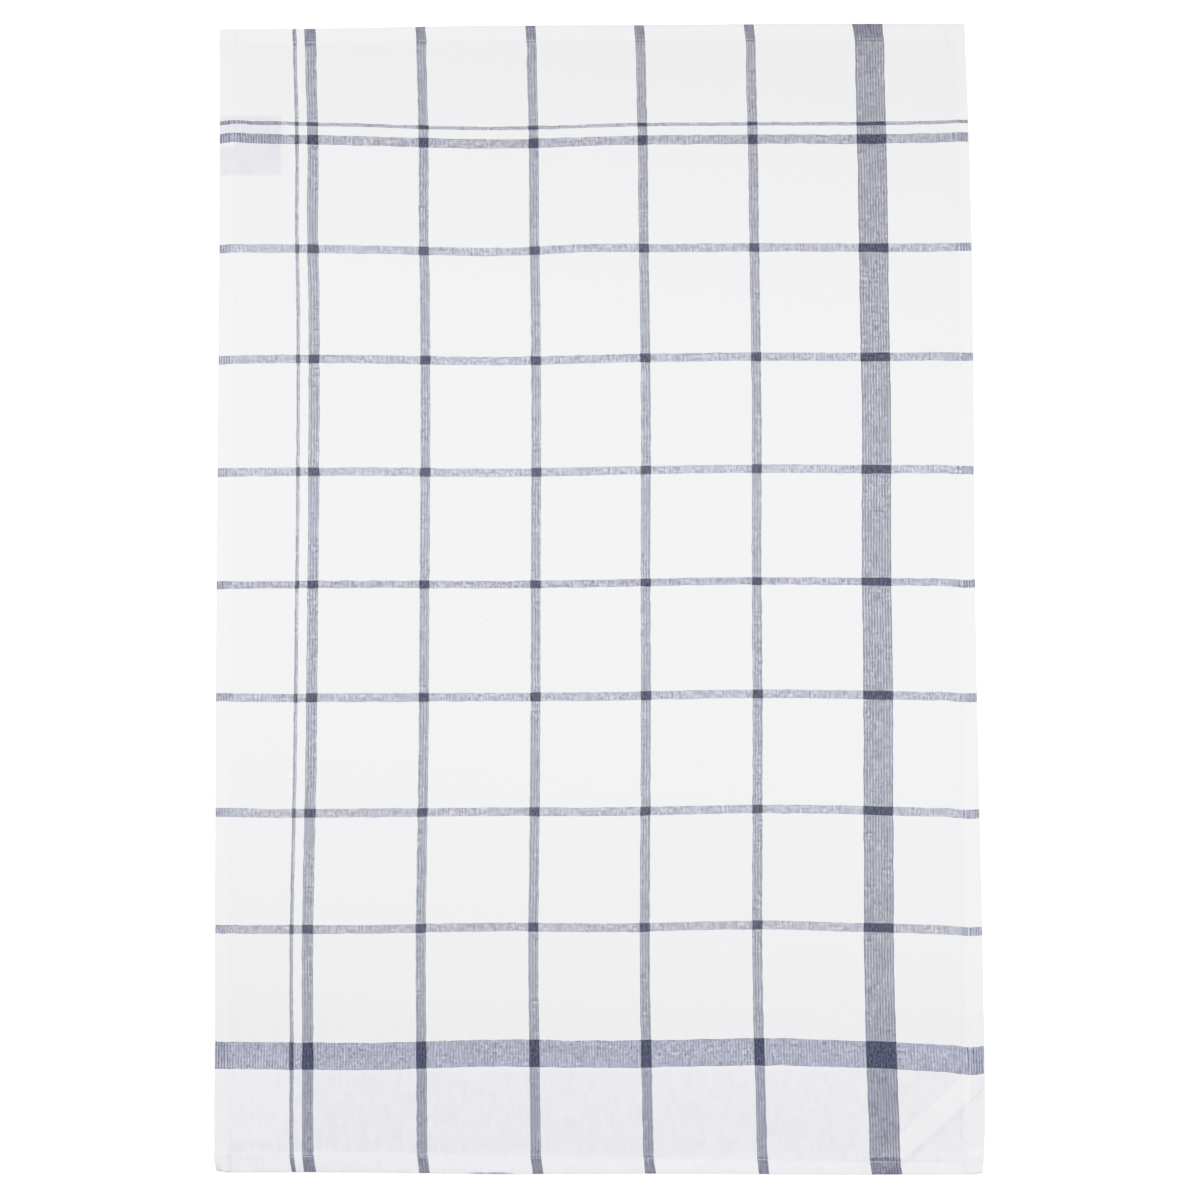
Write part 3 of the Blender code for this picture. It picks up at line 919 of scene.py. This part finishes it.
def woven_cotton(name, settings, show_through_and_painted_shade):
    """Yarn-dyed cotton in plain weave: matt, with fine uneven ribs both ways and soft fibres; on the face,
    painted shade too.
    """
    weave = settings.weave
    material, shader = new_material(name, roughness=0.9, sheen=0.1, specular=0.2)
    tree = material.node_tree
    do = partial(add, tree)
    straight = do("UVMap", uv_map=THREAD_MAP)
    stray = do("VectorMath MULTIPLY", straight, (1 / STRAY_SIZE[0], 1 / STRAY_SIZE[1], 0.0))
    stray = do("TexNoise", stray, 1.0, 1.0, noise_dimensions="2D", output="Color")
    stray = do("VectorMath SUBTRACT", stray, (0.5, 0.5, 0.5))
    threads = do("VectorMath MULTIPLY_ADD", stray, (weave.wander,) * 3, straight)
    warp, weft = plain_weave(tree, threads, weave)
    ribs, bars, grain = (
        unevenness(tree, threads, *size) for size in (RIB_SIZE, BAR_SIZE, GRAIN_SIZE)
    )
    # The reed leaves marks between groups of two yarns. The real ones are too fine for a picture of the
    # whole towel, so they are drawn further apart.
    reed_turn = 2 * math.pi / (REED_YARNS * weave.warp_pitch)
    reed = do("Math COSINE", do("Math MULTIPLY", warp["place"], reed_turn))
    patches = do("Math MULTIPLY_ADD", unevenness(tree, threads, *REED_SIZE), *REED_PATCHES)
    reed = do("Math MULTIPLY", reed, patches)
    dyed_warp = stripes_at(tree, warp["middle"], WARP_STRIPES)
    dyed_weft = stripes_at(tree, weft["middle"], WEFT_STRIPES)
    gain, gaps = (1.0, 1.0, 1.0), 0.0
    # On the face, the gain brings what shows through from below and the painted shade
    if show_through_and_painted_shade:
        gain, gaps = layers_below_and_painted_shade(tree, threads, warp, weft)

    # Which yarn lies on top: the higher one, and where the spinning or the reed makes it thicker
    slubs = do("Math SUBTRACT", warp["slub"], weft["slub"])
    uneven = do("Math MULTIPLY_ADD", ribs, weave.ribs, do("Math MULTIPLY", bars, -weave.bars))
    uneven = do("Math MULTIPLY_ADD", grain, weave.grain, uneven)
    clear = do("Math ADD", do("Math MULTIPLY_ADD", dyed_warp, *REED_CLEARNESS), gaps)
    uneven = do("Math MULTIPLY_ADD", do("Math MULTIPLY", reed, weave.reed), clear, uneven)
    even = (weave.bars - weave.ribs - weave.grain) / 2
    level = do("Math ADD", do("Math MULTIPLY_ADD", slubs, SLUB_LEAD, uneven), even)
    lead = do("Math ADD", do("Math SUBTRACT", warp["height"], weft["height"]), level)
    warp_share = do("Math MULTIPLY_ADD", lead, weave.sharpness, weave.cover, use_clamp=True)
    on_top = do("Mix", warp_share, dyed_weft, dyed_warp, data_type="FLOAT")

    # Its colour: white yarns look darker beside dyed ones, and the dye is worn from light to dark
    crossed = do("Math MAXIMUM", dyed_warp, dyed_weft)
    white = do("Mix", crossed, weave.white, weave.shaded, data_type="RGBA")
    worn = do("Math MULTIPLY_ADD", reed, WEAR_BY_REED, do("Math MULTIPLY_ADD", grain, *WEAR))
    worn = do("Clamp", worn)
    darkest, lightest = ([share * part for part in weave.dyed] for share in (DARKEST, LIGHTEST))
    dyed = do("Mix", worn, darkest, lightest, data_type="RGBA")
    colour = do("Mix", on_top, white, dyed, data_type="RGBA")
    thick = do("Math MULTIPLY_ADD", ribs, RIBS_IN_LIGHT, do("Math MULTIPLY", bars, BARS_IN_LIGHT))
    light = do("Mix", thick, LEAST_LIGHT, MOST_LIGHT, data_type="RGBA")
    gap_light = do("Math MULTIPLY_ADD", do("Math MULTIPLY", reed, gaps), GAP_LIGHT, 1.0)
    # The gain holds the show-through and the painted shade of the face
    for factor in (light, gain, gap_light):
        colour = do("VectorMath MULTIPLY", colour, factor)
    dress(shader, colour, do("Math MAXIMUM", warp["height"], weft["height"]), bump=0.4, depth=0.0001)
    return material


def satin_label():
    """Blank satin ribbon: smooth off-white polyester with a soft gloss and ribs 0.4 mm apart."""
    material, shader = new_material("satin label tape", roughness=0.45, sheen=0.1, specular=0.5)
    do = partial(add, material.node_tree)
    across = do("SeparateXYZ", do("UVMap", uv_map=THREAD_MAP), output="X")
    rib_pitch = 0.4
    ribs = do("Math SINE", do("Math MULTIPLY", across, 2 * math.pi / rib_pitch))
    share = do("Math MULTIPLY_ADD", ribs, 0.5, 0.5)
    colour = do("Mix", share, linear("#E2E0E4"), linear("#EDEBEF"), data_type="RGBA")
    dress(shader, colour, ribs, bump=0.3, depth=0.00005)
    return material


def twill_tape():
    """Herringbone cotton tape: matt white, with slanting ribs 1.2 mm apart that turn at its middle."""
    material, shader = new_material("herringbone cotton tape", roughness=0.9, sheen=0.1)
    do = partial(add, material.node_tree)
    threads = do("UVMap", uv_map=THREAD_MAP)
    along, across = (do("SeparateXYZ", threads, output=axis) for axis in ("X", "Y"))
    slant = do("Math ADD", do("Math ABSOLUTE", across), along)
    rib_pitch = 1.2
    ribs = do("Math SINE", do("Math MULTIPLY", slant, 2 * math.pi / rib_pitch))
    share = do("Math MULTIPLY_ADD", ribs, 0.5, 0.5)
    colour = do("Mix", share, linear("#E6E6E7"), linear("#F3F3F3"), data_type="RGBA")
    dress(shader, colour, ribs, bump=0.6, depth=0.00015)
    return material


def sewing_thread():
    """Spun cotton sewing thread: soft white, and a little less matt than the cloth."""
    material, shader = new_material("cotton sewing thread", roughness=0.8, sheen=0.2)
    shader.inputs["Base Color"].default_value = (*linear("#EFEFF0"), 1.0)
    return material


def white_board():
    """Matt white board with a glow of its own, so that it shows as pure white all over."""
    material, shader = new_material("matt white board", roughness=0.9)
    shader.inputs["Base Color"].default_value = (*linear("#BCBCBC"), 1.0)
    shader.inputs["Emission Color"].default_value = (1.0, 1.0, 1.0, 1.0)
    shader.inputs["Emission Strength"].default_value = 0.9
    return material


class TOWEL_OT_cloth(bpy.types.Operator):
    """Add the cloth, with its four hems turned twice"""

    bl_idname = "towel.cloth"
    bl_label = "Add cloth"

    # How far past a hem's inner fold it still counts, over what width its lighter look fades out, and
    # how far its lower layers are dragged, as a share of the face
    HEM_MARGIN = 0.0001
    HEM_FADE = 0.0020
    LOWER_DRAG = 0.5

    def execute(self, context):
        settings = context.scene.towel
        lie = Lie(settings)
        columns = fold_lines("left", "right", lie.width, settings.cloth.cell)
        rows = fold_lines("bottom", "top", lie.length, settings.cloth.cell)
        piece, column, row = grid("cloth_sheet", len(columns["side"]), len(rows["side"]))
        across = {key: values[column] for key, values in columns.items()}
        along = {key: values[row] for key, values in rows.items()}
        layer, edge = lie.layer, lie.thickness / 2

        # The side hems are folded first. A stack is what their lower layers add under the face.
        x = swing(across, lie.width, lie.RIM, layer, layer / 2, edge + layer)
        stack = lie.side_stack(x)
        in_stack = across["face"] * stack + across["tucked"] * layer

        # The end hems are folded over them, so their folds are as much wider as the stack is high, and
        # the cloth there lies in the order bottom, tucked, face, with the whole stack in each layer
        most_out = edge + layer + 1.5 * stack
        out, inn = stack / 2 + layer + in_stack, layer / 2 + in_stack
        y = swing(along, lie.length, lie.RIM, out, inn, most_out)
        end_stack = lie.end_stack(x, y)
        face = end_stack + in_stack
        over_face = np.where(along["out"] > 0, 2 * (stack + layer) + in_stack, face)
        height = along["face"] * over_face + along["tucked"] * (stack + layer + in_stack)
        height += along["bottom"] * (stack - in_stack)

        # The label, the tape and the creases lift the face alone, and the hems lift as a whole
        on_face = across["face"] * along["face"]
        height += on_face * (lie.cover_lift(x, y) + lie.crease_lift(x, y)) + lie.hem_lift(x, y) + edge
        placed_x, placed_y = lie.place(x, y)
        write_points(piece, placed_x, placed_y, height)

        # The threads go round the folds, but the uneven outline doesn't bend them: it cuts them off
        warp, weft = thread_shift(x, y, lie)
        thread_x = (across["thread"] + placed_x - x) / MM - warp
        thread_y = (along["thread"] + placed_y - y) / MM - weft
        write_threads(piece, thread_x, thread_y)
        write_number(piece, "face_layer", on_face)
        self.write_hems(piece, x, y, on_face, lie)
        thicken(piece, lie.thickness)
        materials = [
            woven_cotton("woven cotton, face", settings, True),
            woven_cotton("woven cotton, reverse", settings, False),
        ]
        finish_piece(piece, materials, "woven_cotton", "cloth")
        return {"FINISHED"}

    def write_hems(self, piece, x, y, on_face, lie):
        """Tells the weave where the face lies over a hem, and how far the threads below are dragged."""
        across, along = x / lie.width + 0.5, y / lie.length + 0.5
        lighter = np.zeros(len(x))
        for name, shift_name, hems, share in (
            ("side_hem", "below_along", ("left", "right"), along),
            ("end_hem", "below_across", ("bottom", "top"), across),
        ):
            turned, shift = np.zeros(len(x)), np.zeros(len(x))
            for hem in hems:
                distance = lie.inside(x, y)[hem]
                over_hem = on_face * (distance < HEMS[hem]["width"] + self.HEM_MARGIN)
                turned = np.maximum(turned, over_hem)
                inwards = np.clip(distance / stitch_line(hem, share), 0.0, 1.0)
                shift += over_hem * self.LOWER_DRAG * drag_at_edge(hem, share) * inwards
                most = bend(*HEMS[hem]["lighter"], share)
                inner = mix(*HEMS[hem]["reach"], share)
                fade = smooth((inner - distance) / self.HEM_FADE + 0.5)
                lighter = np.maximum(lighter, on_face * most * fade)
            write_number(piece, name, turned)
            write_number(piece, shift_name, shift)
        write_number(piece, "hem_lighter", lighter)


def sheet_under_face(name, lines, place, lie, thickness):
    """A small sheet that lies right under the face, with its mesh points where place has them."""
    columns, rows = lines
    piece, column, row = grid(name, columns, rows)
    x, y = place(column / (columns - 1), row / (rows - 1))
    height = lie.face_middle(x, y) - lie.thickness / 2 - lie.air - thickness / 2
    placed_x, placed_y = lie.place(x, y)
    write_points(piece, placed_x, placed_y, height)
    return piece, x, y


class TOWEL_OT_label(bpy.types.Operator):
    """Add the blank care label, caught in the left hem"""

    bl_idname = "towel.label"
    bl_label = "Add care label"

    # Mesh lines over its width and over its length
    LINES = (30, 30)

    def execute(self, context):
        lie = Lie(context.scene.towel)
        low, high = lie.label_box

        def place(across, along):
            return mix(low.x, high.x, across), mix(low.y, high.y, along)

        piece, x, y = sheet_under_face("care_label_sheet", self.LINES, place, lie, lie.label_thickness)
        write_threads(piece, x / MM, y / MM)
        thicken(piece, lie.label_thickness)
        finish_piece(piece, [satin_label()], "label_satin", "care_label")
        return {"FINISHED"}


class TOWEL_OT_tape(bpy.types.Operator):
    """Add the hanging tape, caught in the right and the bottom hem"""

    bl_idname = "towel.tape"
    bl_label = "Add hanging tape"

    # Mesh lines along it and across it
    LINES = (50, 10)

    def execute(self, context):
        lie = Lie(context.scene.towel)
        low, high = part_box("hanging_tape")
        cut_right, cut_bottom = high.x, low.y
        slope, half = lie.TAPE_SLOPE, lie.tape_width / 2

        # Each lengthwise thread of the tape ends where the right and the bottom hem cut it off
        def place(across, along):
            offset = mix(-half, half, along)
            start_x = lie.TAPE_MIDDLE[0] - offset * math.sin(slope)
            start_y = lie.TAPE_MIDDLE[1] + offset * math.cos(slope)
            bottom_x = start_x + (cut_bottom - start_y) / math.tan(slope)
            right_y = start_y + (cut_right - start_x) * math.tan(slope)
            return mix(bottom_x, cut_right, across), mix(cut_bottom, right_y, across)

        piece, x, y = sheet_under_face("hanging_tape_sheet", self.LINES, place, lie, lie.tape_thickness)
        from_x, from_y = (x - lie.TAPE_MIDDLE[0]) / MM, (y - lie.TAPE_MIDDLE[1]) / MM
        along = from_x * math.cos(slope) + from_y * math.sin(slope)
        across = from_y * math.cos(slope) - from_x * math.sin(slope)
        write_threads(piece, along, across)
        thicken(piece, lie.tape_thickness)
        finish_piece(piece, [twill_tape()], "twill_tape", "hanging_tape")
        return {"FINISHED"}


class TOWEL_OT_stitching(bpy.types.Operator):
    """Add the sewing of the four hems, on the face and on the reverse"""

    bl_idname = "towel.stitching"
    bl_label = "Add hem stitching"

    # Length of a stitch as a share of the pitch, its height as a share of its width, and how far from
    # the towel's corners a seam ends
    LENGTH_SHARE = 0.9
    FLATNESS = 0.8
    END_ROOM = 0.0006

    def execute(self, context):
        trim = context.scene.towel.trim
        lie = Lie(context.scene.towel)
        start_clean()
        # Each stitch is the same small round grain, drawn out to its length
        bpy.ops.mesh.primitive_uv_sphere_add(segments=6, ring_count=5, radius=0.5)
        piece = bpy.context.object
        piece.name = piece.data.name = "hem_stitching"
        one = read_points(piece)
        faces = [list(face.vertices) for face in piece.data.polygons]
        points = []
        for hem in HEMS:
            width = trim.thread_thickness * HEMS[hem]["thread"]
            length, height = trim.stitch_pitch * self.LENGTH_SHARE, width * self.FLATNESS
            for middle, along, sideways in self.stitches(hem, lie, trim.stitch_pitch):
                turned = (
                    np.outer(one[:, 2] * length, along)
                    + np.outer(one[:, 0] * width, sideways)
                    + np.outer(one[:, 1] * height, (0, 0, 1))
                )
                points.append(middle + turned)
        every = np.concatenate(points)
        starts = range(0, len(every), len(one))
        mesh = bpy.data.meshes.new("hem_stitching")
        all_faces = [[start + point for point in face] for start in starts for face in faces]
        mesh.from_pydata(every.tolist(), [], all_faces)
        old, piece.data = piece.data, mesh
        bpy.data.meshes.remove(old)
        finish_piece(piece, [sewing_thread()], "woven_cotton")
        return {"FINISHED"}

    def stitches(self, hem, lie, pitch):
        """Middle, direction and side direction of each stitch along one hem, on both faces."""
        upright = hem in ("left", "right")
        length = lie.length if upright else lie.width
        half = length / 2 - self.END_ROOM
        count = int(2 * half / pitch)
        places = np.linspace(-half, half, count + 1)
        side = -1 if hem in ("left", "bottom") else 1
        span = lie.width if upright else lie.length
        off = side * (span / 2 - stitch_line(hem, places / length + 0.5))
        x, y = (off, places) if upright else (places, off)
        for top in (True, False):
            height = lie.face_middle(x, y) + lie.thickness / 2 if top else lie.hem_lift(x, y)
            placed_x, placed_y = lie.place(x, y)
            knots = np.stack([placed_x, placed_y, height + np.zeros_like(x)], axis=1)
            for start, end in zip(knots, knots[1:]):
                along = (end - start) / np.linalg.norm(end - start)
                sideways = np.cross(along, (0, 0, 1))
                yield (start + end) / 2, along, sideways


class TOWEL_OT_studio(bpy.types.Operator):
    """Add the floor, the soft light and the camera"""

    bl_idname = "towel.studio"
    bl_label = "Add studio"

    # Size of the floor, and how far below the cloth it lies, to keep clear of it
    FLOOR_SIZE = 30.0
    FLOOR_DROP = 0.0003

    # A long softbox above the towel's upper half, tipped a little towards its lower end
    STRIP_PLACE = (-0.06, 0.203, 1.30)
    STRIP_TURN = (math.radians(-9.35), 0.0, math.radians(-6.0))
    STRIP_SIZE = (3.1, 0.71)
    STRIP_SPREAD = math.radians(95)

    # The even light from all round, and the point that the camera looks at
    FILL_COLOUR = (0.86, 0.91, 1.0, 1.0)
    LOOK_AT = (0.00241, -0.00646, 0.0)

    def execute(self, context):
        studio = context.scene.towel.studio
        start_clean()
        bpy.ops.mesh.primitive_plane_add(size=self.FLOOR_SIZE, location=(0, 0, -self.FLOOR_DROP))
        floor = bpy.context.object
        floor.name = "floor"
        floor.data.materials.append(white_board())
        self.add_light(studio.strip_power)
        world = bpy.data.worlds.new("even studio")
        world.use_nodes = True
        background = world.node_tree.nodes["Background"]
        background.inputs["Color"].default_value = self.FILL_COLOUR
        background.inputs["Strength"].default_value = studio.fill
        context.scene.world = world
        self.set_tones(context.scene.view_settings)
        self.add_camera(context.scene, studio)
        return {"FINISHED"}

    def add_light(self, power):
        """The softbox."""
        bpy.ops.object.light_add(type="AREA", location=self.STRIP_PLACE, rotation=self.STRIP_TURN)
        light = bpy.context.object
        light.name = "strip"
        light.data.shape = "RECTANGLE"
        light.data.size, light.data.size_y = self.STRIP_SIZE
        light.data.energy = power
        light.data.spread = self.STRIP_SPREAD
        light.visible_camera = False

    def set_tones(self, view):
        """The camera's tone curve: straight up to the mid tones, then gentle on the whites."""
        view.view_transform = "Standard"
        view.use_curve_mapping = True
        curve = view.curve_mapping
        curve.white_level = (BRIGHTEST, BRIGHTEST, BRIGHTEST)
        curve.extend = "HORIZONTAL"
        # The last of the four curves acts on all colours together
        combined = curve.curves[3]
        for light, shown in TONES:
            combined.points.new(light / BRIGHTEST, shown)
        combined.points[0].location = (0.0, 0.0)
        combined.points[-1].location = (1.0, 1.0)
        curve.update()

    def add_camera(self, scene, studio):
        """The camera above the towel, a little towards its lower end."""
        back = Vector((0.0, -math.sin(studio.lean), math.cos(studio.lean)))
        bpy.ops.object.camera_add(location=Vector(self.LOOK_AT) + back * studio.camera_distance)
        camera = bpy.context.object
        turn = Euler((studio.lean, 0.0, 0.0)).to_matrix() @ Euler((0.0, 0.0, studio.roll)).to_matrix()
        camera.rotation_euler = turn.to_euler()
        camera.data.sensor_width = 36.0
        camera.data.lens = studio.lens
        scene.camera = camera


class TOWEL_PT_panel(bpy.types.Panel):
    """The tea towel's panel in the sidebar"""

    bl_idname = "TOWEL_PT_panel"
    bl_label = "Tea towel"
    bl_space_type = "VIEW_3D"
    bl_region_type = "UI"
    bl_category = "Tea towel"

    def draw(self, context):
        settings = context.scene.towel
        for group in (settings.cloth, settings.weave, settings.trim, settings.studio):
            box = self.layout.box()
            for name in group.__annotations__:
                box.prop(group, name)
        for operator in OPERATORS:
            self.layout.operator(operator.bl_idname)


SETTINGS = (ClothSettings, WeaveSettings, TrimSettings, StudioSettings, TowelSettings)
OPERATORS = (TOWEL_OT_cloth, TOWEL_OT_label, TOWEL_OT_tape, TOWEL_OT_stitching, TOWEL_OT_studio)


def register():
    for each in (*SETTINGS, *OPERATORS, TOWEL_PT_panel):
        bpy.utils.register_class(each)
    bpy.types.Scene.towel = bpy.props.PointerProperty(type=TowelSettings)


def unregister():
    del bpy.types.Scene.towel
    for each in reversed((*SETTINGS, *OPERATORS, TOWEL_PT_panel)):
        bpy.utils.unregister_class(each)


def main():
    register()
    bpy.ops.towel.cloth()
    bpy.ops.towel.label()
    bpy.ops.towel.tape()
    bpy.ops.towel.stitching()
    bpy.ops.towel.studio()


if __name__ == "__main__":
    main()
